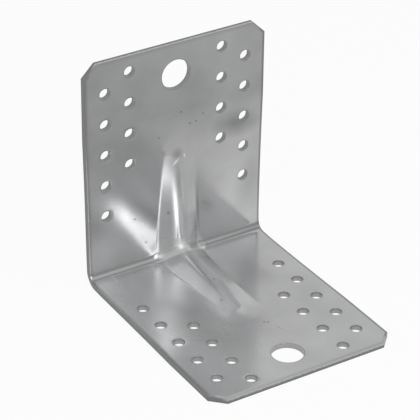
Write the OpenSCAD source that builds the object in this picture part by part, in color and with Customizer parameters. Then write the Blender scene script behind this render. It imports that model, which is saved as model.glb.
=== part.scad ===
// Reinforced angle bracket: one folded sheet with punched holes and a pressed rib.
// X runs across, +Y points to the upright leg's back, Z up. All sizes in millimetres.

/* [Sheet] */
// Width of both legs, along X
width = 90; // [76:1:110]
// Height of the upright leg, from the flat leg's underside
wall_leg = 108; // [100:1:130]
// Length of the flat leg, from the upright leg's back
floor_leg = 108; // [100:1:130]
// Thickness of the sheet
sheet = 2.5; // [2:0.1:3]
// Inside radius of the fold
fold_r = 3.5; // [2:0.1:5]
// Length cut off each free corner, along both edges
corner_cut = 6; // [3:0.5:8]
// How far each side edge is drawn in at the fold
waist = 0.9; // [0.3:0.1:1.5]
// Distance from the fold's outer corner at which the side edges reach the full width
waist_reach = 72; // [60:1:80]

/* [Bolt holes] */
// Diameter of the bolt hole in each leg
bolt_d = 14; // [11:0.5:16]
// Distance of the bolt hole's centre from the leg's free end
bolt_end = 15; // [12:0.5:18]

/* [Nail holes] */
// Diameter of the nail holes
nail_d = 5; // [4:0.1:6]
// Distance between the nail holes of one column
nail_pitch = 15; // [12:0.5:16]
// Distance of the outer columns from the side edges
edge_margin = 10; // [8:0.5:12]
// Distance between an outer and an inner column
column_gap = 12; // [10:0.5:13]
// Number of nail holes in an outer column
outer_count = 5; // [2:1:5]
// Number of nail holes in an inner column
inner_count = 4; // [2:1:4]
// Distance of an outer column's first hole from the leg's free end
outer_end = 15; // [13:0.5:18]

/* [Rib] */
// Height of the rib over the inner faces, at the fold
rib_rise = 5.4; // [4:0.1:7]
// Height of the rib at the middle of its round end
rib_end_rise = 1.6; // [1:0.1:2]
// Half width of the rib's base at the fold
rib_half = 11.2; // [10:0.1:13]
// Radius of the base's round end, half its width there
rib_end_r = 8; // [7:0.1:9]
// Distance of the round end's middle from the leg's outer face at the fold
rib_reach = 53.5; // [40:0.5:57]
// Distance from that face at which the rib has its full height
rib_root = 6.5; // [4:0.5:8]
// Outer radius of the rib's ridge at the fold
rib_ridge_r = 7; // [5:0.5:8]
// Outer radius of the rib's ridge at its round end
rib_end_ridge_r = 12; // [9:0.5:13]
// Distance of the ridge from the bracket's middle, along X
rib_shift = 1; // [-1:0.5:1]

/* [Hidden] */
// An inner column starts half a pitch nearer the free end than an outer one
inner_end = outer_end - nail_pitch / 2;
outer_col = width / 2 - edge_margin;
inner_col = outer_col - column_gap;
// How far the cutting shapes stand out of the faces they open
over = 1;
ridge_facets = 32;
waist_facets = 720;
// Radius of the shallow arc along each side edge, seen square to the line between the legs
waist_r = (pow(waist_reach, 2) / 2 + pow(waist, 2)) / (2 * waist);
galvanised = [0.62, 0.64, 0.65];

// A leg's shapes are drawn over the XY plane: X across, +Y from the outer corner
// to the free end, +Z from the outer face to the inner face.
module on_floor() {
    mirror([0, 1, 0])
        children();
}

module on_wall() {
    rotate([90, 0, 0])
        children();
}

// A quarter plane up and to the left of a corner that is rounded to r
module rounded_quarter(inset, r) {
    far = wall_leg + floor_leg;
    translate([-inset, inset])
        difference() {
            translate([-far, 0])
                square(far);
            difference() {
                translate([-r, 0])
                    square(r);
                translate([-r, r])
                    circle(r);
            }
        }
}

module fold_profile() {
    intersection() {
        translate([-floor_leg, 0])
            square([floor_leg, wall_leg]);
        difference() {
            rounded_quarter(0, fold_r + sheet);
            rounded_quarter(sheet, fold_r);
        }
    }
}

// Draws a section of the YZ plane along X, over the whole width
module over_width() {
    rotate([90, 0, 90])
        translate([0, 0, -width / 2])
            linear_extrude(width)
                children();
}

// A square bar on edge across the sheet at each free corner
module corner_cuts(leg) {
    for (side = [-1, 1])
        translate([side * width / 2, leg, sheet / 2])
            rotate([0, 0, 45])
                cube([corner_cut * sqrt(2), corner_cut * sqrt(2), sheet + 2 * over], center = true);
}

module punch(x, along, d) {
    translate([x, along, -over])
        cylinder(h = sheet + 2 * over, d = d, $fn = 64);
}

module nail_column(x, first, count) {
    for (i = [0:count - 1])
        punch(x, first - i * nail_pitch, nail_d);
}

module leg_holes(leg) {
    punch(0, leg - bolt_end, bolt_d);
    for (side = [-1, 1]) {
        nail_column(side * outer_col, leg - outer_end, outer_count);
        nail_column(side * inner_col, leg - inner_end, inner_count);
    }
}

// Round bars between the legs that cut the side edges to their shallow arc
module waist_cuts() {
    for (side = [-1, 1])
        translate([side * (width / 2 - waist + waist_r), 0, 0])
            rotate([45, 0, 0])
                cylinder(h = 2 * (wall_leg + floor_leg), r = waist_r, center = true, $fn = waist_facets);
}

// Slope of a flank that starts at the base's edge and touches a ridge of radius r
function flank(half, rise, r) =
    atan((rise - r) / half)
    + asin(r / norm([half, rise - r]));

// Ball whose crest is the ridge where the rib has its full height
module root_ball(depth) {
    translate([rib_shift, rib_root, sheet + rib_rise - rib_ridge_r])
        sphere(rib_ridge_r - depth, $fn = ridge_facets);
}

// One leg's half of the rib. depth 0 gives the face that stands out on the inside,
// depth = sheet the hollow left on the outside, at the sheet's thickness below it.
module rib_arm(depth) {
    root_half = rib_half - depth * tan(flank(rib_half, rib_rise, rib_ridge_r) / 2);
    end_r = rib_end_r - depth * tan(flank(rib_end_r, rib_end_rise, rib_end_ridge_r) / 2);
    face = sheet - depth;
    hull() {
        root_ball(depth);
        translate([rib_shift, 0, 0]) {
            translate([0, rib_reach, sheet + rib_end_rise - rib_end_ridge_r])
                sphere(rib_end_ridge_r - depth, $fn = ridge_facets);
            translate([0, rib_reach, face - over])
                cylinder(h = over, r = end_r, $fn = 2 * ridge_facets);
            translate([-root_half, face, face - over])
                cube([2 * root_half, over, over]);
        }
    }
}

// Both legs' halves, and the web that rounds the corner between their ridges
module rib(depth) {
    on_floor()
        rib_arm(depth);
    on_wall()
        rib_arm(depth);
    hull() {
        on_floor()
            root_ball(depth);
        on_wall()
            root_ball(depth);
    }
}

module bracket() {
    color(galvanised)
        translate([0, floor_leg / 2, 0])
            difference() {
                union() {
                    over_width()
                        fold_profile();
                    intersection() {
                        rib(0);
                        over_width()
                            rounded_quarter(0, fold_r + sheet);
                    }
                }
                rib(sheet);
                waist_cuts();
                on_floor() {
                    leg_holes(floor_leg);
                    corner_cuts(floor_leg);
                }
                on_wall() {
                    leg_holes(wall_leg);
                    corner_cuts(wall_leg);
                }
            }
}

bracket();
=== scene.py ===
"""Folded sheet-steel angle bracket with a pressed rib, dressed for a studio picture."""
import math

import bmesh
import bpy
from bpy.props import FloatProperty, FloatVectorProperty, IntProperty, PointerProperty
from mathutils import Matrix, Vector


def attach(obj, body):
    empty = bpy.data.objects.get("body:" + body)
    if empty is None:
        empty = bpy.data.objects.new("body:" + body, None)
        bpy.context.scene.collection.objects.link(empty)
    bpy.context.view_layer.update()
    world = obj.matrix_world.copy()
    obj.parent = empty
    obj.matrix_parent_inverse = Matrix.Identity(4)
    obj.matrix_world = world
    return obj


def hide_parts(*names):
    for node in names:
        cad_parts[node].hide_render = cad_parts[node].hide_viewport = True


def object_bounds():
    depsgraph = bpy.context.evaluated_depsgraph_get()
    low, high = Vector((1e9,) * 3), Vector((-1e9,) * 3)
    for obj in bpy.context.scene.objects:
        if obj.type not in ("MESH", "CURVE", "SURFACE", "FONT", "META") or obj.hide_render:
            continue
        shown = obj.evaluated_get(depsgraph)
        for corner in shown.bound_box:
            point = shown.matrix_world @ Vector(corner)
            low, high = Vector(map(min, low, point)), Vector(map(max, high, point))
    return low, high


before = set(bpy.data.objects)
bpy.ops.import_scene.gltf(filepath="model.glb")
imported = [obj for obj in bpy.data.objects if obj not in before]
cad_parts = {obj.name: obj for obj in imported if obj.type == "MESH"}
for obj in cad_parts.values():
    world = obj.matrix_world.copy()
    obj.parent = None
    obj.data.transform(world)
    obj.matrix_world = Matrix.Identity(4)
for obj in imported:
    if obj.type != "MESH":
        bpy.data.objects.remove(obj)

bl_info = {
    "name": "Ribbed angle bracket",
    "version": (1, 0, 0),
    "blender": (4, 5, 0),
    "location": "3D View > Sidebar > Bracket",
    "description": "Presses a ribbed angle bracket from one sheet and lays out its studio",
    "category": "Add Mesh",
}

MM = 0.001
CAD_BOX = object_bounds()


# Settings

class BracketSheetSettings(bpy.types.PropertyGroup):
    """Sizes of the blank and of its fold"""
    width: FloatProperty(
        name="Width", description="Width of both legs",
        default=90 * MM, unit='LENGTH', precision=4)
    leg: FloatProperty(
        name="Leg", description="Length of each leg from the outer corner",
        default=108 * MM, unit='LENGTH', precision=4)
    thickness: FloatProperty(
        name="Thickness", description="Thickness of the sheet",
        default=2.5 * MM, unit='LENGTH', precision=4)
    fold_radius: FloatProperty(
        name="Fold radius", description="Inside radius of the fold",
        default=3.5 * MM, unit='LENGTH', precision=4)
    fold_ease: FloatProperty(
        name="Fold ease", description="Slope at which the legs leave the fold",
        default=0.07, precision=4)
    ease_reach: FloatProperty(
        name="Ease reach", description="Length over which that slope fades out",
        default=5.5 * MM, unit='LENGTH', precision=4)
    corner_cut: FloatProperty(
        name="Corner cut", description="Length cut off each free corner along both edges",
        default=6 * MM, unit='LENGTH', precision=4)
    roll_width: FloatProperty(
        name="Roll-over width", description="Width of the rounded zone beside the outline",
        default=1.8 * MM, unit='LENGTH', precision=4)
    roll_depth: FloatProperty(
        name="Roll-over depth", description="Depth to which that zone is drawn down",
        default=0.2 * MM, unit='LENGTH', precision=5)
    bore_roll_width: FloatProperty(
        name="Hole roll-over width", description="Width of the rounded zone round each hole",
        default=0.6 * MM, unit='LENGTH', precision=5)
    bore_roll_depth: FloatProperty(
        name="Hole roll-over depth", description="Depth to which that zone is drawn down",
        default=0.08 * MM, unit='LENGTH', precision=5)
    waist: FloatProperty(
        name="Waist", description="How far the rib draws each side in at the fold",
        default=0.9 * MM, unit='LENGTH', precision=5)
    waist_reach: FloatProperty(
        name="Waist reach", description="Distance from the outer corner at which it ends",
        default=72 * MM, unit='LENGTH', precision=4)


class BracketHoleSettings(bpy.types.PropertyGroup):
    """Sizes and places of the punched holes"""
    bolt_diameter: FloatProperty(
        name="Bolt hole", description="Diameter of the bolt hole in each leg",
        default=14 * MM, unit='LENGTH', precision=4)
    bolt_from_end: FloatProperty(
        name="Bolt hole from end", description="Distance of its centre from the free end",
        default=15 * MM, unit='LENGTH', precision=4)
    nail_diameter: FloatProperty(
        name="Nail hole", description="Diameter of the nail holes",
        default=5 * MM, unit='LENGTH', precision=4)
    nail_pitch: FloatProperty(
        name="Nail pitch", description="Distance between the nail holes of a column",
        default=15 * MM, unit='LENGTH', precision=4)
    outer_column: FloatProperty(
        name="Outer column", description="Distance of the outer columns from the middle",
        default=35 * MM, unit='LENGTH', precision=4)
    inner_column: FloatProperty(
        name="Inner column", description="Distance of the inner columns from the middle",
        default=23 * MM, unit='LENGTH', precision=4)
    outer_count: IntProperty(
        name="Outer count", description="Nail holes in an outer column", default=5, min=1)
    inner_count: IntProperty(
        name="Inner count", description="Nail holes in an inner column", default=4, min=1)


class BracketRibSettings(bpy.types.PropertyGroup):
    """Sizes of the pressed rib"""
    rise: FloatProperty(
        name="Rise", description="Height of the rib over the inner faces at the fold",
        default=5.4 * MM, unit='LENGTH', precision=4)
    end_rise: FloatProperty(
        name="End rise", description="Height of the rib at the middle of its round end",
        default=1.6 * MM, unit='LENGTH', precision=4)
    half_width: FloatProperty(
        name="Half width", description="Half width of the rib's base at the fold",
        default=11.2 * MM, unit='LENGTH', precision=4)
    end_radius: FloatProperty(
        name="End radius", description="Radius of the base's round end",
        default=8 * MM, unit='LENGTH', precision=4)
    reach: FloatProperty(
        name="Reach", description="Distance of the round end's middle from the outer corner",
        default=53.5 * MM, unit='LENGTH', precision=4)
    ridge_radius: FloatProperty(
        name="Ridge radius", description="Radius of the rounded ridge at the fold",
        default=7 * MM, unit='LENGTH', precision=4)
    end_ridge_radius: FloatProperty(
        name="End ridge radius", description="Radius of the rounded ridge at the round end",
        default=12 * MM, unit='LENGTH', precision=4)
    shift: FloatProperty(
        name="Shift", description="Distance of the ridge from the bracket's middle",
        default=1 * MM, unit='LENGTH', precision=4)
    crease: FloatProperty(
        name="Crease softness", description="Height over which the rib's foot blends into the leg",
        default=0.35 * MM, unit='LENGTH', precision=5)
    fold_softness: FloatProperty(
        name="Softness at fold", description="How much more height that blend takes at the fold",
        default=2.2 * MM, unit='LENGTH', precision=5)
    end_softness: FloatProperty(
        name="Softness at end", description="How much more it takes round the rib's end",
        default=0.5 * MM, unit='LENGTH', precision=5)
    root: FloatProperty(
        name="Root", description="Distance from the outer corner at which it has its full height",
        default=6.5 * MM, unit='LENGTH', precision=4)
    throat_radius: FloatProperty(
        name="Throat radius", description="Radius between the ridges of the rib's two arms",
        default=3 * MM, unit='LENGTH', precision=4)


class BracketFinishSettings(bpy.types.PropertyGroup):
    """Look of the galvanised steel"""
    zinc: FloatVectorProperty(
        name="Zinc", description="Colour of the galvanised faces",
        subtype='COLOR', size=3, min=0, max=1, default=(0.42, 0.422, 0.425))
    # Also the colour toward which painted shade darkens the faces, and away from which painted
    # light lightens them
    dull_and_shaded_zinc: FloatVectorProperty(
        name="Dull zinc", description="Colour of the duller clouds on the faces",
        subtype='COLOR', size=3, min=0, max=1, default=(0.3, 0.302, 0.304))
    # Painted shade: darkens the fold where it would mirror the bright room
    fold_shade_colour: FloatVectorProperty(
        name="Bent zinc", description="Colour of the stretched zinc in the fold",
        subtype='COLOR', size=3, min=0, max=1, default=(0.18, 0.181, 0.183))
    # Painted highlight along the upright leg's ridge
    rubbed: FloatVectorProperty(
        name="Rubbed zinc", description="Colour of the burnished zinc on the rib's ridge",
        subtype='COLOR', size=3, min=0, max=1, default=(0.64, 0.642, 0.645))
    bore: FloatVectorProperty(
        name="Bore", description="Colour of the punched holes' walls",
        subtype='COLOR', size=3, min=0, max=1, default=(0.25, 0.25, 0.252))
    low_bore: FloatVectorProperty(
        name="Low bore", description="Colour of the hole walls in the flat leg",
        subtype='COLOR', size=3, min=0, max=1, default=(0.36, 0.36, 0.362))
    worn: FloatVectorProperty(
        name="Worn zinc", description="Colour of the rubbed zinc beside the sheared edges",
        subtype='COLOR', size=3, min=0, max=1, default=(0.15, 0.15, 0.152))
    sheared: FloatVectorProperty(
        name="Sheared edge", description="Colour of the burnished part of the cut edges",
        subtype='COLOR', size=3, min=0, max=1, default=(0.42, 0.42, 0.422))
    torn: FloatVectorProperty(
        name="Torn edge", description="Colour of the rough part of the cut edges",
        subtype='COLOR', size=3, min=0, max=1, default=(0.2, 0.2, 0.201))
    roughness: FloatProperty(
        name="Roughness", description="Roughness of the faces", default=0.17, min=0, max=1)


class BracketStageSettings(bpy.types.PropertyGroup):
    """Camera, floor and lights"""
    lens: FloatProperty(
        name="Lens", description="Focal length on a sensor 36 mm wide",
        default=193.908, unit='CAMERA')
    aim_azimuth: FloatProperty(
        name="Azimuth", description="Direction from which the camera looks",
        default=math.radians(-32.294), subtype='ANGLE')
    aim_elevation: FloatProperty(
        name="Elevation", description="Height angle of the camera",
        default=math.radians(31.164), subtype='ANGLE')
    roll: FloatProperty(
        name="Roll", description="Turn of the camera about its line of sight",
        default=math.radians(0.672), subtype='ANGLE')
    distance: FloatProperty(
        name="Distance", description="Distance of the camera from its target",
        default=956.482 * MM, unit='LENGTH')
    target: FloatVectorProperty(
        name="Target", description="Place looked at, from the middle of the outer corner",
        default=(0, -50 * MM, 45 * MM), size=3, subtype='TRANSLATION', unit='LENGTH')
    slide: FloatVectorProperty(
        name="Slide", description="How far the camera is moved to its right and up",
        default=(-10.172 * MM, 4.296 * MM), size=2, unit='LENGTH')
    ambient: FloatProperty(
        name="Ambient", description="Level of the light that comes from all round", default=0.3)


# The blank

# Rows of the grid over the distance between two nail holes
ROWS_PER_PITCH = 16
# Half the side of the square that is opened in the grid for a nail hole
NAIL_CELL = 3.75 * MM
# Half the sides of the oblong that is opened for a bolt hole
BOLT_CELL = (9.6 * MM, 9.375 * MM)
# How far the close lines along the rib's foot reach to its outside and inside, and half the
# width of those over the ridge
FOOT_OUTSIDE = 1.8 * MM
FOOT_INSIDE = 1.6 * MM
RIDGE_HALF = 4 * MM
# Distances in millimetres, from a cut edge, of the lines that follow it
BESIDE_SIDE = (0, 0.2, 0.5, 0.9, 1.5, 2.3, 3.4, 4.7)
BESIDE_END = (0, 0.2, 0.5, 0.9, 1.4, 2, 2.8)
BESIDE_CORNER = (1.8, 1.3, 0.9, 0.5, 0.2, 0)
BESIDE_BORE = (0.65, 0.28, 0)


def steps(start, end, count):
    """Evenly spaced stops from start to end, without the last one"""
    return [start + (end - start) * i / count for i in range(count)]


def blank_columns(sheet, holes, rib):
    """Stops across the blank: finer at the side edges, the hole columns and the rib's foot"""
    outer, inner = holes.outer_column, holes.inner_column
    foot_out = rib.half_width + FOOT_OUTSIDE
    foot_in = rib.half_width - FOOT_INSIDE
    half = [sheet.width / 2 - inset * MM for inset in BESIDE_SIDE]
    half += steps(outer + NAIL_CELL, outer - NAIL_CELL, 8)
    half += steps(outer - NAIL_CELL, inner + NAIL_CELL, 5)
    half += steps(inner + NAIL_CELL, inner - NAIL_CELL, 8)
    half += steps(inner - NAIL_CELL, foot_out, 7)
    half += steps(foot_out, foot_in, 10)
    half += steps(foot_in, RIDGE_HALF, 7)
    half += steps(RIDGE_HALF, 0, 10)
    return [-v for v in half] + [0] + half[::-1]


def leg_stations(sheet, holes):
    """Stops along a leg from its free end to the fold, as distances from the outer corner.
    Its even rows start and end between two holes of a column."""
    leg = sheet.leg
    first = leg - holes.bolt_from_end + holes.nail_pitch * 0.75
    last = leg - holes.bolt_from_end - holes.nail_pitch * (holes.outer_count - 0.75)
    near_end = [leg - inset * MM for inset in BESIDE_END]
    flat = steps(first, last, ROWS_PER_PITCH * holes.outer_count)
    ribbed = steps(last, sheet.thickness + sheet.fold_radius, 36)
    return near_end + flat + ribbed


def place_along_blank(sheet, station):
    """Place on the flat blank of a station of a leg, measured from the middle of the fold"""
    start = sheet.thickness + sheet.fold_radius
    return station - start + sheet.fold_radius * math.pi / 4


def blank_rows(sheet, holes):
    """Stops along the blank, from one free end over the fold to the other"""
    leg = [place_along_blank(sheet, v) for v in leg_stations(sheet, holes)]
    bend = sheet.fold_radius * math.pi / 4
    return [-v for v in leg] + steps(-bend, bend, 14) + [bend] + leg[::-1]


def nail_column(sheet, holes, across, first, count):
    """Centre, radius and half size of the cell of each nail hole of a column, on one leg"""
    places = [place_along_blank(sheet, first - i * holes.nail_pitch) for i in range(count)]
    return [(across, place, holes.nail_diameter / 2, NAIL_CELL, NAIL_CELL) for place in places]


def hole_list(sheet, holes):
    """Centre, radius and half size of the cell of every hole, on the flat blank"""
    first = sheet.leg - holes.bolt_from_end
    leg = [(0, place_along_blank(sheet, first), holes.bolt_diameter / 2, *BOLT_CELL)]
    for hand in (-1, 1):
        leg += nail_column(sheet, holes, hand * holes.outer_column, first, holes.outer_count)
        leg += nail_column(sheet, holes, hand * holes.inner_column,
                           first + holes.nail_pitch / 2, holes.inner_count)
    return [(x, side * y, *sizes) for side in (-1, 1) for x, y, *sizes in leg]


def lay_blank(bm, columns, rows):
    """A flat grid whose lines stand at the given stops"""
    nx = len(columns) - 1
    ny = len(rows) - 1
    bmesh.ops.create_grid(bm, x_segments=nx, y_segments=ny, size=0.5)
    for v in bm.verts:
        i = round((v.co.x + 0.5) * nx)
        j = round((v.co.y + 0.5) * ny)
        v.co = (columns[i], rows[j], 0)


def angle_round(dx, dy, half_x, half_y):
    """Angle round a hole at which a point of its cell's outline is drawn in. A square cell
    has its points at even angles."""
    if half_x != half_y:
        return math.atan2(dy, dx)
    quarter = math.pi / 4
    if abs(dx) >= abs(dy):
        return quarter * dy / half_y if dx > 0 else math.pi - quarter * dy / half_y
    return math.pi / 2 - quarter * dx / half_x if dy > 0 else -math.pi / 2 + quarter * dx / half_x


def punch_hole(bm, hole):
    """Opens a cell of the grid and draws its edge in to a circle, ring by ring"""
    x, y, radius, half_x, half_y = hole
    tiny = 0.05 * MM
    cell = [f for f in bm.faces
            if abs(f.calc_center_median().x - x) < half_x - tiny
            and abs(f.calc_center_median().y - y) < half_y - tiny]
    inside = set(cell)
    rim = [e for e in {e for f in cell for e in f.edges}
           if sum(f in inside for f in e.link_faces) == 1]
    angles = {}
    for e in rim:
        for v in e.verts:
            angles[v] = angle_round(v.co.x - x, v.co.y - y, half_x, half_y)
    bmesh.ops.delete(bm, geom=cell, context='FACES')
    for ring in [radius + gap * MM for gap in BESIDE_BORE]:
        out = bmesh.ops.extrude_edge_only(bm, edges=rim)["geom"]
        new_edges = [g for g in out if isinstance(g, bmesh.types.BMEdge)]
        new_verts = [g for g in out if isinstance(g, bmesh.types.BMVert)]
        new_angles = {}
        for v in new_verts:
            for e in v.link_edges:
                old = e.other_vert(v)
                if old in angles:
                    new_angles[v] = angles[old]
        for v, a in new_angles.items():
            v.co = (x + ring * math.cos(a), y + ring * math.sin(a), 0)
        rim = new_edges
        angles = new_angles


def cut_corners(bm, sheet):
    """Cuts the free corners off, with lines beside each cut for its rounding"""
    half = sheet.width / 2
    end = place_along_blank(sheet, sheet.leg)
    around = 2 * sheet.corner_cut
    for sx in (-1, 1):
        for sy in (-1, 1):
            normal = Vector((sx, sy, 0)).normalized()
            for inset in BESIDE_CORNER:
                middle = Vector((sx * (half - sheet.corner_cut / 2),
                                 sy * (end - sheet.corner_cut / 2), 0))
                middle -= normal * inset * MM
                near = [f for f in bm.faces
                        if f.calc_center_median().x * sx > half - around
                        and f.calc_center_median().y * sy > end - around]
                geom = set(near)
                for f in near:
                    geom.update(f.edges)
                    geom.update(f.verts)
                bmesh.ops.bisect_plane(
                    bm, geom=list(geom), dist=0.002 * MM, plane_co=middle, plane_no=normal,
                    clear_outer=inset == 0)


def outline_distance(x, y, sheet):
    """Distance on the flat blank to the sheared outline"""
    half = sheet.width / 2
    end = place_along_blank(sheet, sheet.leg)
    d = min(half - abs(x), end - abs(y))
    return max(min(d, (half + end - sheet.corner_cut - abs(x) - abs(y)) / math.sqrt(2)), 0)


def bore_distance(x, y, punched):
    """Distance on the flat blank to the nearest hole's edge, up to 2 mm"""
    d = 2 * MM
    for hx, hy, radius, _, _ in punched:
        if abs(x - hx) < radius + d and abs(y - hy) < radius + d:
            d = min(d, math.hypot(x - hx, y - hy) - radius)
    return max(d, 0)


# The press

# Farthest that the rib's foot and its blend reach across from the ridge
RIB_MARGIN = 16 * MM
# Farthest that the blend reaches past the rib's round end
END_MARGIN = 2 * MM
# Farthest that the rib and the fold's run-out reach from the outer corner
RIB_ZONE = 66 * MM
FOLD_ZONE = 26 * MM
# Centre, out from the wall and up, of the fan of lines along which the fold's points move
FAN = 14 * MM
# Distances from the outer corner between which the grid's lines leave the rib's foot
LED_TO = 62 * MM
FREE_FROM = 76 * MM
# Lengths over which the foot's blend is softer, at the fold and past the round end's middle
FOLD_BLEND = 8 * MM
END_BLEND = 4 * MM
# Width at the rib's foot over which the fold's radius turns into the throat's
THROAT_RUN = 4 * MM
# Shortest and longest way of a point in the press, and how often it is halved to find its end
PRESS_START = -0.01 * MM
PRESS_TRAVEL = 12 * MM
PRESS_HALVINGS = 22
# Width beside the side edges where the zinc is rubbed most
SIDE_ZONE = 2.5 * MM


def smooth_step(start, end, value):
    """0 at the start, 1 at the end, with a soft run between them"""
    t = min(max((value - start) / (end - start), 0), 1)
    return t * t * (3 - 2 * t)


def soft_max(a, b, k):
    """The larger of two heights, blended where they differ by less than k"""
    h = max(k - abs(a - b), 0) / k
    return max(a, b) + h * h * k / 4


def rib_half(rib, sheet, v):
    """Half width of the rib's foot at a distance v from the outer corner"""
    t = (v - sheet.thickness) / (rib.reach - sheet.thickness)
    t = min(max(t, 0), 1)
    return rib.half_width + (rib.end_radius - rib.half_width) * t


def rib_along(rib, v):
    """How far along the rib a distance v lies: 0 at the fold, 1 at the round end's middle"""
    return min(max((v - rib.root) / (rib.reach - rib.root), 0), 1)


def rib_top(rib, v):
    """Height of the ridge over the inner face at a distance v from the outer corner"""
    return rib.rise + (rib.end_rise - rib.rise) * rib_along(rib, v)


def rib_section(rib, across, half, top, r, blend):
    """Height of the rib's section at a distance across from its ridge"""
    drop = top - r
    slope = math.atan(drop / half) + math.asin(min(r / math.hypot(half, drop), 1))
    across = abs(across)
    if across < r * math.sin(slope):
        height = drop + math.sqrt(r * r - across * across)
    else:
        height = (half - across) * math.tan(slope)
    return soft_max(height, 0, blend)


def rib_height(rib, sheet, x, v):
    """Height of the rib over the inner face at a place x across and v from the outer corner"""
    across = x - rib.shift
    if abs(across) > RIB_MARGIN or v > rib.reach + rib.end_radius + END_MARGIN:
        return 0
    t = rib_along(rib, v)
    r = rib.ridge_radius + (rib.end_ridge_radius - rib.ridge_radius) * t
    if v > rib.reach:
        across = math.hypot(across, v - rib.reach)
    at_fold = math.exp(-(v / FOLD_BLEND) ** 2)
    at_end = min(max((v - rib.reach) / END_BLEND, 0), 1)
    blend = rib.crease + rib.fold_softness * at_fold + rib.end_softness * at_end
    return rib_section(rib, across, rib_half(rib, sheet, v), rib_top(rib, v), r, blend)


def fold_ease(sheet, v):
    """Height that the fold's run-out adds to a leg at a distance v from the outer corner"""
    beyond = v - sheet.thickness - sheet.fold_radius
    reach = sheet.ease_reach
    if beyond < 0:
        return sheet.fold_ease * (reach - beyond)
    return sheet.fold_ease * reach * math.exp(-beyond / reach)


def throat(rib, sheet, x):
    """Radius between the legs: the fold's beside the rib, smaller across it"""
    t = smooth_step(rib.half_width, rib.half_width - THROAT_RUN, abs(x - rib.shift))
    return sheet.fold_radius + (rib.throat_radius - sheet.fold_radius) * t


def painted_fold_shade(rib, sheet, x, out, up):
    """Painted shade in the fold, where it would mirror the bright room: 1 in its middle, 0 on the
    legs
    """
    # -1 where the fold leaves the flat leg, 1 where it meets the upright one
    turn = (up - out) / throat(rib, sheet, x)
    shade = smooth_step(-0.65, -0.3, turn) * smooth_step(1.05, 0.6, turn)
    foot = rib.half_width
    on_rib = smooth_step(foot, foot - 2 * MM, abs(x - rib.shift))
    return shade * (1 - 0.45 * on_rib)


def matt_shade(rib, x, out, up):
    """How far pressing has dulled the rib: most where its arms meet, less on the right of
    the flat leg's arm"""
    foot = rib.half_width
    on_rib = smooth_step(foot, foot - 3 * MM, abs(x - rib.shift))
    corner = smooth_step(15 * MM, 10.5 * MM, max(out, up))
    on_flat_leg = smooth_step(up, up + 4 * MM, out)
    on_right = smooth_step(-3 * MM, 0.5 * MM, x - rib.shift)
    near_fold = smooth_step(40 * MM, 26 * MM, out)
    return on_rib * max(corner, 0.6 * on_flat_leg * on_right * near_fold)


def painted_ridge_highlight(rib, x, out, up):
    """How much painted highlight the upright leg's ridge gets at a place, just left of its top"""
    left_of_ridge = rib.shift - 1.6 * MM
    ridge = smooth_step(3.6 * MM, 1.5 * MM, abs(x - left_of_ridge))
    near_fold = smooth_step(46 * MM, 26 * MM, up)
    on_upright_leg = smooth_step(out, out + 3 * MM, up)
    return ridge * near_fold * on_upright_leg


def clearance(rib, sheet, x, out, up):
    """Below 0 inside the steel, above 0 in the free corner in front of it"""
    a = up - sheet.thickness - rib_height(rib, sheet, x, max(out, 0)) - fold_ease(sheet, out)
    b = out - sheet.thickness - rib_height(rib, sheet, x, max(up, 0)) - fold_ease(sheet, up)
    r = throat(rib, sheet, x)
    round_a = max(r - a, 0)
    round_b = max(r - b, 0)
    return max(r, min(a, b)) - math.hypot(round_a, round_b)


def warp_column(rib, sheet, holes, x, v):
    """Leads the grid's columns along the rib's foot, and the outer ones along the waist"""
    limit = holes.inner_column - NAIL_CELL
    outer = holes.outer_column + NAIL_CELL
    if abs(x) > outer:
        draw = sheet.waist * max(1 - (v / sheet.waist_reach) ** 2, 0)
        draw *= (abs(x) - outer) / (sheet.width / 2 - outer)
        return x - math.copysign(draw, x)
    if abs(x) >= limit:
        return x
    ease = smooth_step(FREE_FROM, LED_TO, v)
    foot = rib.half_width
    shift = rib.shift * ease
    inner = foot + (rib_half(rib, sheet, v) - foot) * ease
    if abs(x) <= foot:
        return shift + x * inner / foot
    side = 1 if x > 0 else -1
    near = shift + side * inner
    t = (abs(x) - foot) / (limit - foot)
    return near + (side * limit - near) * t


def plain_place(sheet, s):
    """Where the plain fold carries a place s of the blank: out from the wall and up, and the
    direction away from the steel there"""
    r = sheet.fold_radius
    start = sheet.thickness + r
    bend = r * math.pi / 4
    if s < -bend:
        return Vector((start - bend - s, sheet.thickness)), Vector((0, 1))
    if s > bend:
        return Vector((sheet.thickness, start - bend + s)), Vector((1, 0))
    a = (s + bend) / r
    away = Vector((math.sin(a), math.cos(a)))
    return Vector((start, start)) - away * r, away


def fold_vertex(x, s, sheet, holes, rib):
    """Carries a point of the blank to its place on the pressed inner face"""
    plain, _ = plain_place(sheet, s)
    out, up = plain
    if out >= FAN:
        way = Vector((0, 1))
    elif up >= FAN:
        way = Vector((1, 0))
    else:
        way = (Vector((FAN, FAN)) - plain).normalized()
    v = max(out, up)
    x = warp_column(rib, sheet, holes, x, v)
    if v < FOLD_ZONE or abs(x - rib.shift) < RIB_MARGIN and v < RIB_ZONE:
        low = PRESS_START
        high = PRESS_TRAVEL
        for _ in range(PRESS_HALVINGS):
            mid = (low + high) / 2
            p = plain + way * mid
            if clearance(rib, sheet, x, p.x, p.y) < 0:
                low = mid
            else:
                high = mid
        p = plain + way * high
    else:
        p = plain
    return Vector((x, p.x, p.y))


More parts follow.
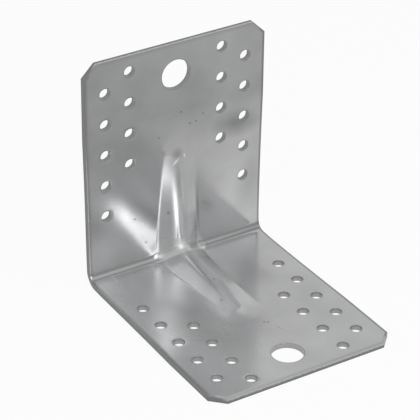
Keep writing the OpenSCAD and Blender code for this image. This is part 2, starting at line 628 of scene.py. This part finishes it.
def form_sheet(bm, sheet, rib, holes, punched):
    """Folds and presses the blank, marks the zones that look different, and returns how the
    roll-over beside the cut edges draws each point down"""
    roll = {}
    rim = bm.verts.layers.float.new("rim")
    bore = bm.verts.layers.float.new("bore")
    bend = bm.verts.layers.float.new("bend")
    ridge_glint = bm.verts.layers.float.new("ridge_glint")
    matt = bm.verts.layers.float.new("matt")
    bm.verts.layers.float.new("inner")
    side = sheet.width / 2 - SIDE_ZONE
    for v in bm.verts:
        x, s = v.co.x, v.co.y
        edge = max(1 - outline_distance(x, s, sheet) / sheet.roll_width, 0)
        if abs(x) < side:
            v[rim] = edge * 0.3
        else:
            v[rim] = edge if x < 0 else smooth_step(0.3, 0.65, edge)
        v[bore] = max(1 - bore_distance(x, s, punched) / sheet.bore_roll_width, 0)
        depth = sheet.roll_depth * edge ** 2 + sheet.bore_roll_depth * v[bore] ** 2
        if depth > 0:
            _, away = plain_place(sheet, s)
            roll[v] = Vector((0, away.x, away.y)) * -depth
        v.co = fold_vertex(x, s, sheet, holes, rib)
        # Painted shade in the fold and a painted highlight on the upright leg's ridge
        v[bend] = painted_fold_shade(rib, sheet, *v.co)
        v[ridge_glint] = painted_ridge_highlight(rib, *v.co)
        v[matt] = matt_shade(rib, *v.co)
    return roll


def stand_in_frame(bm):
    """Turns (across, out from the wall's back, up) into the part's own axes"""
    back = CAD_BOX[1].y
    for v in bm.verts:
        v.co = (v.co.x, back - v.co.y, v.co.z)


# Materials

# Painted shade by height, from the flat leg (0) to the upright leg's end (1), darkest high up
PAINTED_SHADE_AT_HEIGHT = ((0, 0), (0.1, 0), (0.4, 0.15), (0.5, 0.15), (0.7, 1.2), (1, 0.9))
# Where, right of the middle, painted light on the right side sets in and is full, and how much
# of it shows at a height
PAINTED_LIGHT_RIGHT = (8 * MM, 26 * MM)
PAINTED_LIGHT_RIGHT_AT_HEIGHT = ((0, 0), (0.03, 0), (0.08, 1), (0.25, 1), (0.45, 0.3), (0.7, 1), (1, 0.7))
# Heights between which the flat leg's finish ends: its roughness, its blurred part and the
# lighter walls of its holes
LYING_ZINC = (2 * MM, 6 * MM)
LYING_BLUR = (2.65 * MM, 3.2 * MM)
LYING_BORES = (2.6 * MM, 3 * MM)
# Distances from the outer faces between which the cut edges turn from torn to burnished
BURNISHED = (1.1 * MM, 1.7 * MM)
# Where, left of the middle, the left side's cut edge begins, which is worn
LEFT_EDGE = (-39 * MM, -41 * MM)
# How worn the zinc is beside a cut edge, from the zone's inner limit (0) to the edge (1)
WORN_AT_EDGE = ((0, 0), (0.25, 0.3), (0.45, 0.55), (1, 0.7))
# Share of the ground's look that is its own white, so that only a soft shadow is left
GROUND_GLOW = 0.93


def add_node(tree, kind, place, **settings):
    """A shader node at a place of the node editor"""
    node = tree.nodes.new(kind)
    node.location = place
    for key, value in settings.items():
        setattr(node, key, value)
    return node


def noise(tree, vector, scale, detail, place):
    """Procedural noise, from 0 to 1"""
    node = add_node(tree, "ShaderNodeTexNoise", place)
    node.inputs["Scale"].default_value = scale
    node.inputs["Detail"].default_value = detail
    tree.links.new(vector, node.inputs["Vector"])
    return node.outputs["Fac"]


def spread(tree, value, low, high, out_low, out_high, place):
    """A value between low and high, led over to the range from out_low to out_high"""
    node = add_node(tree, "ShaderNodeMapRange", place)
    node.inputs["From Min"].default_value = low
    node.inputs["From Max"].default_value = high
    node.inputs["To Min"].default_value = out_low
    node.inputs["To Max"].default_value = out_high
    tree.links.new(value, node.inputs["Value"])
    return node.outputs["Result"]


def calc(tree, operation, a, b, place):
    """An operation on two values, each a number or a node's output"""
    node = add_node(tree, "ShaderNodeMath", place, operation=operation)
    for socket, value in ((node.inputs[0], a), (node.inputs[1], b)):
        if isinstance(value, (int, float)):
            socket.default_value = value
        else:
            tree.links.new(value, socket)
    return node.outputs[0]


def stored(tree, name, place):
    """A value that the mesh keeps at its points"""
    return add_node(tree, "ShaderNodeAttribute", place, attribute_name=name).outputs["Fac"]


def ramp(tree, value, stops, place):
    """A curve through the given places and heights, over 0 to 1"""
    node = add_node(tree, "ShaderNodeFloatCurve", place)
    points = node.mapping.curves[0].points
    node.mapping.use_clip = False
    while len(points) < len(stops):
        points.new(0.5, 0.5)
    for point, (x, y) in zip(points, stops):
        point.location = (x, y)
        point.handle_type = 'VECTOR'
    node.mapping.update()
    tree.links.new(value, node.inputs["Value"])
    return node.outputs[0]


def blend_colour(tree, factor, a, b, place):
    """Colour a at a factor of 0 and b at 1, each a colour or a node's output"""
    node = add_node(tree, "ShaderNodeMix", place, data_type='RGBA', clamp_factor=False)
    tree.links.new(factor, node.inputs[0])
    for socket, value in ((node.inputs[6], a), (node.inputs[7], b)):
        if isinstance(value, bpy.types.NodeSocket):
            tree.links.new(value, socket)
        else:
            socket.default_value = (*value, 1)
    return node.outputs[2]


def new_material(name):
    """A material with its node tree and its principled shader"""
    material = bpy.data.materials.new(name)
    material.use_nodes = True
    material.node_tree.nodes.clear()
    out = add_node(material.node_tree, "ShaderNodeOutputMaterial", (900, 0))
    shader = add_node(material.node_tree, "ShaderNodeBsdfPrincipled", (600, 0))
    material.node_tree.links.new(shader.outputs[0], out.inputs[0])
    return material, material.node_tree, shader


# Specks and scratches of handling, lighter and darker patches, and spots of painted shade and
# painted light, in millimetres: leg, place across, place along from the outer corner, radius
# across, radius along, turn in degrees, and how dark (below 0 how light)
MARKS_AND_PAINTED_LIGHT = (
    # A darker patch high on the upright leg's right
    ("wall", 31, 60.6, 15, 8, 8, 1.4),
    # Painted shade in a dimple at the rib's end, and painted highlights beside it
    ("wall", 0, 54.8, 3.4, 3.4, 0, 1.1),
    ("wall", -0.8, 51.2, 2.8, 0.9, -48, -2.5),
    ("wall", 3.6, 52.9, 0.7, 1.6, -20, -2.0),
    # Specks of handling
    ("wall", 7.1, 67.3, 0.6, 0.6, 0, 2.5),
    ("wall", 10.2, 67.5, 0.6, 0.5, 0, 2.5),
    ("wall", 13.7, 70.4, 0.6, 0.6, 0, 2.0),
    ("wall", 2.5, 74.1, 0.7, 0.5, 0, 2.0),
    ("wall", -8.6, 64.4, 0.5, 0.7, 0, 2.0),
    ("wall", -5, 26.4, 0.7, 0.7, 0, 2.5),
    ("wall", -20.9, 27.1, 1.0, 0.6, 20, 3.0),
    ("wall", -15.3, 13.6, 0.7, 0.7, 0, 2.5),
    ("wall", 43.3, 5.5, 0.9, 0.9, 0, 2.5),
    # A lighter streak at the fold near the left side
    ("wall", -34, 2.2, 0.8, 3.2, 0, -1.0),
    # Painted shade along the rib's right crease
    ("wall", 11.1, 22, 1.3, 20, -3.6, 1.6),
    # A darker patch low on the upright leg's right
    ("wall", 39, 27, 10, 16, 0, 0.9),
    # Specks and a scratch on the flat leg
    ("floor", -3.6, 46.5, 0.7, 0.7, 0, 3.0),
    ("floor", 1.2, 33, 0.7, 0.9, 0, 2.0),
    ("floor", 4.1, 68.7, 0.7, 0.7, 0, 2.5),
    ("floor", 5.5, 69.6, 0.7, 0.7, 0, 2.5),
    ("floor", 7.4, 76, 0.5, 4, 12, 0.9),
    ("floor", -40.6, 1.6, 0.8, 0.8, 0, 2.5),
    # Painted shade dimming the flat leg's reflections right of the rib
    ("floor", 22, 28, 16, 28, 0, 0.7),
    # A painted highlight at the end of the rib's left flank on the flat leg
    ("floor", -4, 50, 8, 14, 0, -1.6),
    # Painted shade dimming the mirrored ridge highlight in the flat leg, left of the rib
    ("floor", -21, 44, 12, 42, 0, 0.8),
    # Lighter and darker patches
    ("wall", -36, 17, 12, 14, 0, -0.7),
    ("floor", -28, 88, 22, 22, 0, -0.9),
    ("floor", -33, 20, 14, 22, 0, 0.2),
)
# A spot's radius square to its leg, and how far its middle lies from the leg's outer face
SPOT_DEPTH = 8
SPOT_FROM_OUTSIDE = 4
# The part of the flat leg where the zinc mirrors less sharply, given as the marks are
BLURRED = ("floor", -22, 38, 26, 54, 0)


def soft_spot(tree, where, leg, across, along, wide, long, turn, place):
    """1 in the middle of an oval place on a leg, falling to 0 at its rim"""
    back = CAD_BOX[1].y
    spot = add_node(tree, "ShaderNodeMapping", place, vector_type='TEXTURE')
    turn = math.radians(turn)
    if leg == "wall":
        at = (across * MM, back - SPOT_FROM_OUTSIDE * MM, along * MM)
        size = (wide, SPOT_DEPTH, long)
        turned = (0, turn, 0)
    else:
        at = (across * MM, back - along * MM, SPOT_FROM_OUTSIDE * MM)
        size = (wide, long, SPOT_DEPTH)
        turned = (0, 0, turn)
    spot.inputs["Location"].default_value = at
    spot.inputs["Rotation"].default_value = turned
    spot.inputs["Scale"].default_value = [v * MM for v in size]
    tree.links.new(where, spot.inputs["Vector"])
    near = add_node(tree, "ShaderNodeTexGradient", place, gradient_type='SPHERICAL')
    tree.links.new(spot.outputs[0], near.inputs[0])
    return near.outputs["Fac"]


def add_marks_and_painted_light(tree, where, value):
    """Adds the marks, with their painted shade and light, to the darkening: one soft spot in space
    for each
    """
    total = 0
    for i, (*spot, depth) in enumerate(MARKS_AND_PAINTED_LIGHT):
        place = (-1100 + 60 * i, 2000 + 160 * (i % 4))
        part = calc(tree, 'MULTIPLY', soft_spot(tree, where, *spot, place), depth, place)
        total = calc(tree, 'ADD', total, part, place)
    inner = stored(tree, "inner", (100, 2200))
    total = calc(tree, 'MULTIPLY', total, inner, (200, 2000))
    return calc(tree, 'ADD', value, total, (300, 2000))


def dullness_and_painted_light(tree, where, split, clouds):
    """How far the zinc darkens: painted shade by height, painted light on the right, the marks and
    clouds
    """
    up = spread(tree, split.outputs["Z"], 0, CAD_BOX[1].z, 0, 1, (-1150, 1000))
    # Painted shade: the faces darken with height
    height = ramp(tree, up, PAINTED_SHADE_AT_HEIGHT, (-950, 600))
    # Painted light: the right side is lightened
    right = spread(tree, split.outputs["X"], *PAINTED_LIGHT_RIGHT, 0, -0.55, (-950, 800))
    level = ramp(tree, up, PAINTED_LIGHT_RIGHT_AT_HEIGHT, (-950, 1000))
    right = calc(tree, 'MULTIPLY', right, level, (-750, 900))
    dull_and_painted_light = calc(tree, 'ADD', height, right, (-650, 700))
    dull_and_painted_light = add_marks_and_painted_light(tree, where, dull_and_painted_light)
    cloudy = spread(tree, clouds, 0.35, 0.7, -0.15, 0.3, (-950, 300))
    return calc(tree, 'ADD', dull_and_painted_light, cloudy, (-750, 400))


def face_roughness(tree, where, split, clouds, matt, finish):
    """Roughness of the zinc: more on the flat leg, at its blurred part and where the press
    has dulled the rib"""
    rough = spread(tree, clouds, 0.3, 0.7, finish.roughness - 0.03, finish.roughness + 0.05,
                   (-500, 0))
    lying = spread(tree, split.outputs["Z"], *LYING_ZINC, 0.02, 0, (-500, -150))
    rough = calc(tree, 'ADD', rough, lying, (-300, 0))
    pressed = calc(tree, 'MULTIPLY', matt, 0.28, (-300, -150))
    rough = calc(tree, 'ADD', rough, pressed, (-100, 0))
    blurred = soft_spot(tree, where, *BLURRED, (-700, -500))
    blurred = spread(tree, blurred, 0, 0.5, 0, 0.12, (-500, -500))
    flat = spread(tree, split.outputs["Z"], *LYING_BLUR, 1, 0, (-500, -700))
    blurred = calc(tree, 'MULTIPLY', blurred, flat, (-300, -500))
    return calc(tree, 'ADD', rough, blurred, (0, 0))


def add_bump(tree, height, strength, distance, place):
    """Turns a height into a bump of the surface, up to a distance"""
    bump = add_node(tree, "ShaderNodeBump", place)
    bump.inputs["Strength"].default_value = strength
    bump.inputs["Distance"].default_value = distance
    tree.links.new(height, bump.inputs["Height"])
    return bump


def galvanised_faces(finish):
    """The zinc of the faces: clouded and marked, with painted shade by height and in the fold,
    painted light on the right, a painted highlight on the upright leg's ridge, and worn beside
    the cut edges"""
    material, tree, shader = new_material("galvanised_steel")
    where = add_node(tree, "ShaderNodeTexCoord", (-1400, 0)).outputs["Object"]
    clouds = noise(tree, where, 45, 3, (-1200, 300))
    grain = noise(tree, where, 1400, 2, (-1200, 0))
    wave = noise(tree, where, 22, 1, (-1200, -300))
    split = add_node(tree, "ShaderNodeSeparateXYZ", (-1200, 600))
    tree.links.new(where, split.inputs[0])
    dull_and_painted_light = dullness_and_painted_light(tree, where, split, clouds)
    # Blends in the painted shade and painted light with the clouds and the marks
    colour = blend_colour(tree, dull_and_painted_light, finish.zinc, finish.dull_and_shaded_zinc, (-500, 300))
    bend, ridge_glint, rim, bore, matt = [
        stored(tree, name, (-950, 1200 + 200 * i))
        for i, name in enumerate(("bend", "ridge_glint", "rim", "bore", "matt"))]
    # Painted highlight along the upright leg's ridge
    colour = blend_colour(tree, ridge_glint, colour, finish.rubbed, (-400, 400))
    # Painted shade in the fold
    colour = blend_colour(tree, bend, colour, finish.fold_shade_colour, (-300, 400))
    rim = ramp(tree, rim, WORN_AT_EDGE, (-700, 1100))
    bore = calc(tree, 'MULTIPLY', bore, 0.6, (-700, 1300))
    rim = calc(tree, 'MAXIMUM', rim, bore, (-500, 1200))
    colour = blend_colour(tree, rim, colour, finish.worn, (-100, 500))
    tree.links.new(colour, shader.inputs["Base Color"])
    shader.inputs["Metallic"].default_value = 1
    rough = face_roughness(tree, where, split, clouds, matt, finish)
    tree.links.new(rough, shader.inputs["Roughness"])
    fine = add_bump(tree, grain, 0.25, 0.035 * MM, (-200, -200))
    broad = add_bump(tree, wave, 1, 0.4 * MM, (100, -200))
    tree.links.new(fine.outputs[0], broad.inputs["Normal"])
    tree.links.new(broad.outputs[0], shader.inputs["Normal"])
    return material


def sheared_edges(finish):
    """The cut edges: burnished where the tool entered and torn below, worn on the left side,
    and the holes' walls"""
    material, tree, shader = new_material("sheared_steel")
    where = add_node(tree, "ShaderNodeTexCoord", (-1400, 0)).outputs["Object"]
    split = add_node(tree, "ShaderNodeSeparateXYZ", (-1200, 0))
    tree.links.new(where, split.inputs[0])
    from_back = calc(tree, 'SUBTRACT', CAD_BOX[1].y, split.outputs["Y"], (-1000, -100))
    depth = calc(tree, 'MINIMUM', from_back, split.outputs["Z"], (-800, 0))
    ragged = noise(tree, where, 900, 3, (-1000, 300))
    wander = spread(tree, ragged, 0.3, 0.7, -0.25 * MM, 0.25 * MM, (-800, 300))
    level = calc(tree, 'ADD', depth, wander, (-600, 100))
    burnished = spread(tree, level, *BURNISHED, 0, 1, (-400, 100))
    on_left = spread(tree, split.outputs["X"], *LEFT_EDGE, 0, 0.85, (-500, 500))
    burnish = blend_colour(tree, on_left, finish.sheared, finish.worn, (-400, 400))
    colour = blend_colour(tree, burnished, finish.torn, burnish, (-300, 300))
    lying = spread(tree, split.outputs["Z"], *LYING_BORES, 1, 0, (-500, 700))
    wall = blend_colour(tree, lying, finish.bore, finish.low_bore, (-300, 700))
    colour = blend_colour(tree, stored(tree, "bore", (-300, 500)), colour, wall, (-100, 300))
    tree.links.new(colour, shader.inputs["Base Color"])
    shader.inputs["Metallic"].default_value = 1
    rough = spread(tree, burnished, 0, 1, 0.55, 0.32, (-100, -50))
    tree.links.new(rough, shader.inputs["Roughness"])
    bump = add_bump(tree, ragged, 0.5, 0.05 * MM, (200, -200))
    tree.links.new(bump.outputs[0], shader.inputs["Normal"])
    return material


def seen_directly(tree, place):
    """1 for rays from the camera and for rays mirrored or let through by the object"""
    path = add_node(tree, "ShaderNodeLightPath", place)
    a = calc(tree, 'MAXIMUM', path.outputs["Is Camera Ray"], path.outputs["Is Glossy Ray"],
             (place[0] + 200, place[1]))
    return calc(tree, 'MAXIMUM', a, path.outputs["Is Transmission Ray"],
                (place[0] + 400, place[1]))


def pale_floor():
    """White ground that keeps a soft shadow"""
    material = bpy.data.materials.new("pale_floor")
    material.use_nodes = True
    tree = material.node_tree
    tree.nodes.clear()
    out = add_node(tree, "ShaderNodeOutputMaterial", (600, 0))
    mix = add_node(tree, "ShaderNodeMixShader", (400, 0))
    matt = add_node(tree, "ShaderNodeBsdfDiffuse", (200, 100))
    matt.inputs["Color"].default_value = (0.9, 0.9, 0.9, 1)
    glow = add_node(tree, "ShaderNodeEmission", (200, -100))
    glow.inputs["Strength"].default_value = 1
    seen = seen_directly(tree, (-600, 200))
    own_light = calc(tree, 'MULTIPLY', seen, GROUND_GLOW, (0, 200))
    tree.links.new(own_light, mix.inputs[0])
    tree.links.new(matt.outputs[0], mix.inputs[1])
    tree.links.new(glow.outputs[0], mix.inputs[2])
    tree.links.new(mix.outputs[0], out.inputs[0])
    return material


# Operators

# Width of the bevel along the cut edges
EDGE_BEVEL = 0.1 * MM
# Half the ground's side, and how far it lies under the part
GROUND_HALF = 6
GROUND_DROP = 0.02 * MM
# Softboxes: name, azimuth and elevation in degrees, distance, width and height in metres,
# and brightness
SOFTBOXES = (
    ("strip", -4, 28, 1.2, 0.38, 0.7, 4.1),
    ("front", 5, 31, 1.5, 2.2, 1.0, 0.3),
    ("high", 0, 50, 1.5, 1.6, 1.0, 0.9),
    ("front_left", -19, 39, 1.5, 0.5, 0.8, 0.7),
    ("left", -66, 40, 1.5, 0.9, 0.9, 0.8),
    ("right", 75, 28, 1.5, 1.6, 1.0, 0.9),
)


def thicken(bm, sheet, roll):
    """Gives the pressed face its thickness, rolls its edges over and sets the cut edges'
    material"""
    bmesh.ops.recalc_face_normals(bm, faces=bm.faces[:])
    if sum(f.normal.z * f.calc_area() for f in bm.faces) < 0:
        bmesh.ops.reverse_faces(bm, faces=bm.faces[:])
    inner = set(bm.verts)
    side = bm.verts.layers.float["inner"]
    bmesh.ops.solidify(bm, geom=bm.faces[:], thickness=sheet.thickness)
    for v in bm.verts:
        v[side] = 1 if v in inner else 0
    for v, move in roll.items():
        v.co += Vector((move.x, -move.y, move.z))
    for f in bm.faces:
        on_inner = sum(v in inner for v in f.verts)
        f.material_index = 1 if 0 < on_inner < len(f.verts) else 0
    bmesh.ops.recalc_face_normals(bm, faces=bm.faces[:])


def bevel_cut_edges(bm):
    """Bevels the edges between the faces and the cut edges"""
    sharp = [e for e in bm.edges
             if len({f.material_index for f in e.link_faces}) == 2]
    bmesh.ops.bevel(bm, geom=sharp, offset=EDGE_BEVEL, offset_type='OFFSET', segments=2,
                    profile=0.5, affect='EDGES', material=-1, clamp_overlap=True)


class PressBracket(bpy.types.Operator):
    """Punches, folds and ribs the sheet, and gives it its galvanised finish"""
    bl_idname = "bracket.press_sheet"
    bl_label = "Press bracket"

    def execute(self, context):
        scene = context.scene
        sheet, holes, rib = scene.bracket_sheet, scene.bracket_holes, scene.bracket_rib
        punched = hole_list(sheet, holes)
        bm = bmesh.new()
        lay_blank(bm, blank_columns(sheet, holes, rib), blank_rows(sheet, holes))
        for hole in punched:
            punch_hole(bm, hole)
        cut_corners(bm, sheet)
        loose = [v for v in bm.verts if not v.link_faces]
        bmesh.ops.delete(bm, geom=loose, context='VERTS')
        roll = form_sheet(bm, sheet, rib, holes, punched)
        stand_in_frame(bm)
        thicken(bm, sheet, roll)
        bevel_cut_edges(bm)
        for f in bm.faces:
            f.smooth = True
        mesh = bpy.data.meshes.new("pressed_bracket")
        bm.to_mesh(mesh)
        bm.free()
        mesh.materials.append(galvanised_faces(scene.bracket_finish))
        mesh.materials.append(sheared_edges(scene.bracket_finish))
        piece = bpy.data.objects.new("pressed_bracket", mesh)
        scene.collection.objects.link(piece)
        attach(piece, "root")
        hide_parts("bracket")
        return {'FINISHED'}


def direction(azimuth, elevation):
    """The way from the part to a place that is seen at these angles"""
    return Vector((math.sin(azimuth) * math.cos(elevation),
                   -math.cos(azimuth) * math.cos(elevation), math.sin(elevation)))


def add_softbox(name, azimuth, elevation, distance, width, height, radiance, target):
    """An area lamp of a given brightness, turned to the target. Azimuth 0 stands in front of
    the upright leg, 90 at its right."""
    lamp = bpy.data.lights.new(name, 'AREA')
    lamp.shape = 'RECTANGLE'
    lamp.size = width
    lamp.size_y = height
    lamp.energy = radiance * width * height * math.pi
    holder = bpy.data.objects.new(name, lamp)
    way = direction(math.radians(azimuth), math.radians(elevation))
    holder.location = target + way * distance
    holder.rotation_euler = way.to_track_quat('Z', 'Y').to_euler()
    holder.visible_camera = False
    bpy.context.scene.collection.objects.link(holder)


def lay_ground(scene):
    """The ground under the part"""
    bm = bmesh.new()
    bmesh.ops.create_grid(bm, x_segments=1, y_segments=1, size=GROUND_HALF)
    bmesh.ops.translate(bm, verts=bm.verts[:], vec=(0, 0, -GROUND_DROP))
    mesh = bpy.data.meshes.new("studio_floor")
    bm.to_mesh(mesh)
    bm.free()
    mesh.materials.append(pale_floor())
    floor = bpy.data.objects.new("studio_floor", mesh)
    scene.collection.objects.link(floor)


def light_room(scene, ambient):
    """A room that is seen white and lights the part only a little"""
    world = bpy.data.worlds.new("studio")
    scene.world = world
    world.use_nodes = True
    tree = world.node_tree
    tree.nodes.clear()
    out = add_node(tree, "ShaderNodeOutputWorld", (600, 0))
    sky = add_node(tree, "ShaderNodeBackground", (400, 0))
    sky.inputs["Color"].default_value = (1, 1, 1, 1)
    seen = seen_directly(tree, (-400, 0))
    level = spread(tree, seen, 0, 1, ambient, 1, (200, 0))
    tree.links.new(level, sky.inputs["Strength"])
    tree.links.new(sky.outputs[0], out.inputs[0])


def aim_camera(scene, stage, corner):
    """The camera: turned to its target, rolled, then moved to its side and up"""
    camera = bpy.data.cameras.new("camera")
    camera.sensor_width = 36
    camera.lens = stage.lens
    camera.clip_start = 0.01
    eye = bpy.data.objects.new("camera", camera)
    scene.collection.objects.link(eye)
    azimuth, roll = stage.aim_azimuth, stage.roll
    back = direction(azimuth, stage.aim_elevation)
    level = Vector((math.cos(azimuth), math.sin(azimuth), 0))
    upright = back.cross(level)
    right = level * math.cos(roll) + upright * math.sin(roll)
    up = upright * math.cos(roll) - level * math.sin(roll)
    target = corner + Vector(stage.target)
    place = target + right * stage.slide[0] + up * stage.slide[1] + back * stage.distance
    turned = Matrix((right, up, back)).transposed().to_4x4()
    eye.matrix_world = Matrix.Translation(place) @ turned
    scene.camera = eye


class LayStage(bpy.types.Operator):
    """Lays the floor and sets up the camera and the lamps"""
    bl_idname = "bracket.lay_stage"
    bl_label = "Lay stage"

    def execute(self, context):
        scene = context.scene
        stage = scene.bracket_stage
        corner = Vector((0, CAD_BOX[1].y, 0))
        lay_ground(scene)
        light_room(scene, stage.ambient)
        for softbox in SOFTBOXES:
            add_softbox(*softbox, corner)
        aim_camera(scene, stage, corner)
        scene.view_settings.view_transform = 'Standard'
        return {'FINISHED'}


class BracketPanel(bpy.types.Panel):
    """Settings of the bracket and its stage"""
    bl_idname = "VIEW3D_PT_bracket"
    bl_label = "Ribbed bracket"
    bl_space_type = 'VIEW_3D'
    bl_region_type = 'UI'
    bl_category = "Bracket"

    def draw(self, context):
        scene = context.scene
        for title, group in (("Sheet", scene.bracket_sheet), ("Holes", scene.bracket_holes),
                             ("Rib", scene.bracket_rib), ("Finish", scene.bracket_finish),
                             ("Stage", scene.bracket_stage)):
            box = self.layout.box()
            box.label(text=title)
            for key in group.__annotations__:
                box.prop(group, key)
        self.layout.operator(PressBracket.bl_idname)
        self.layout.operator(LayStage.bl_idname)


GROUPS = {
    "bracket_sheet": BracketSheetSettings,
    "bracket_holes": BracketHoleSettings,
    "bracket_rib": BracketRibSettings,
    "bracket_finish": BracketFinishSettings,
    "bracket_stage": BracketStageSettings,
}
CLASSES = (*GROUPS.values(), PressBracket, LayStage, BracketPanel)


def register():
    for cls in CLASSES:
        bpy.utils.register_class(cls)
    for name, group in GROUPS.items():
        setattr(bpy.types.Scene, name, PointerProperty(type=group))


def unregister():
    for name in GROUPS:
        delattr(bpy.types.Scene, name)
    for cls in reversed(CLASSES):
        bpy.utils.unregister_class(cls)


def main():
    register()
    bpy.ops.bracket.press_sheet()
    bpy.ops.bracket.lay_stage()


if __name__ == "__main__":
    main()
